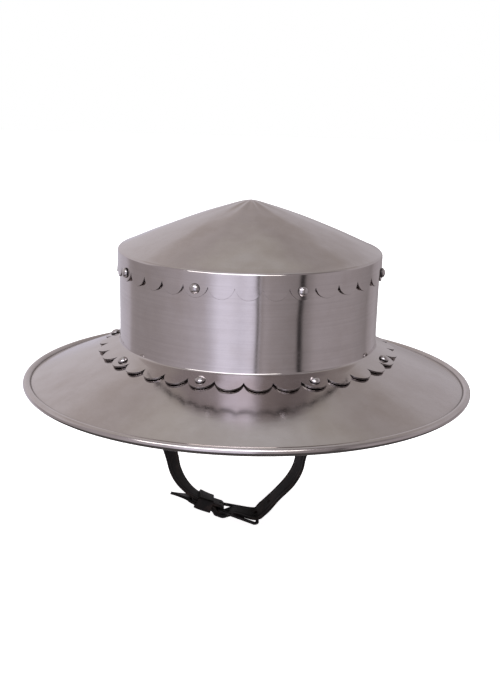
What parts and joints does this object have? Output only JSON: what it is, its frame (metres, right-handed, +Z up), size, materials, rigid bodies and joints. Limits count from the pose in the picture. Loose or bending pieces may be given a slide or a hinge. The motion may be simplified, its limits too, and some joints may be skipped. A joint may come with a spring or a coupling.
{
  "type": "kettle hat",
  "caption": "Riveted steel kettle hat with a shallow cone cap, straight drum, broad sloping brim with a rolled edge, scalloped laps and a buckled leather chin strap.",
  "frame": {"origin": "on the hat's axis, level with the crease between the cone and its skirt, where the crown of a padded head comes to", "axes": "+Z up along the hat's axis, -Y to the front, +X to the viewer's right when the front is looked at"},
  "size_m": [0.4058, 0.4058, 0.3145],
  "materials": {
    "sheet_steel": "polished sheet steel, slightly warm grey, with soft planishing marks and fine hairline scratches",
    "rivet_steel": "polished domed rivet heads, dark where they meet the sheet",
    "black_leather": "black dyed strap leather with a fine grain, darker pressed edges and a rough inner side",
    "black_metal": "blackened steel wire, satin, worn a little brighter on its corners"
  },
  "bodies": {
    "root": {"cone_cap": "sheet_steel", "drum_band": "sheet_steel", "brim": "sheet_steel", "cap_rivet_1": "rivet_steel", "cap_rivet_2": "rivet_steel", "cap_rivet_3": "rivet_steel", "cap_rivet_4": "rivet_steel", "cap_rivet_5": "rivet_steel", "cap_rivet_6": "rivet_steel", "cap_rivet_7": "rivet_steel", "cap_rivet_8": "rivet_steel", "brim_rivet_1": "rivet_steel", "brim_rivet_2": "rivet_steel", "brim_rivet_3": "rivet_steel", "brim_rivet_4": "rivet_steel", "brim_rivet_5": "rivet_steel", "brim_rivet_6": "rivet_steel", "brim_rivet_7": "rivet_steel", "brim_rivet_8": "rivet_steel", "strap_rivet_left": "rivet_steel", "strap_rivet_right": "rivet_steel", "chin_strap_buckle_part": "black_leather", "chin_strap_tail_part": "black_leather", "strap_keeper": "black_leather", "buckle_frame": "black_metal", "buckle_tongue": "black_metal"}
  },
  "joints": []
}
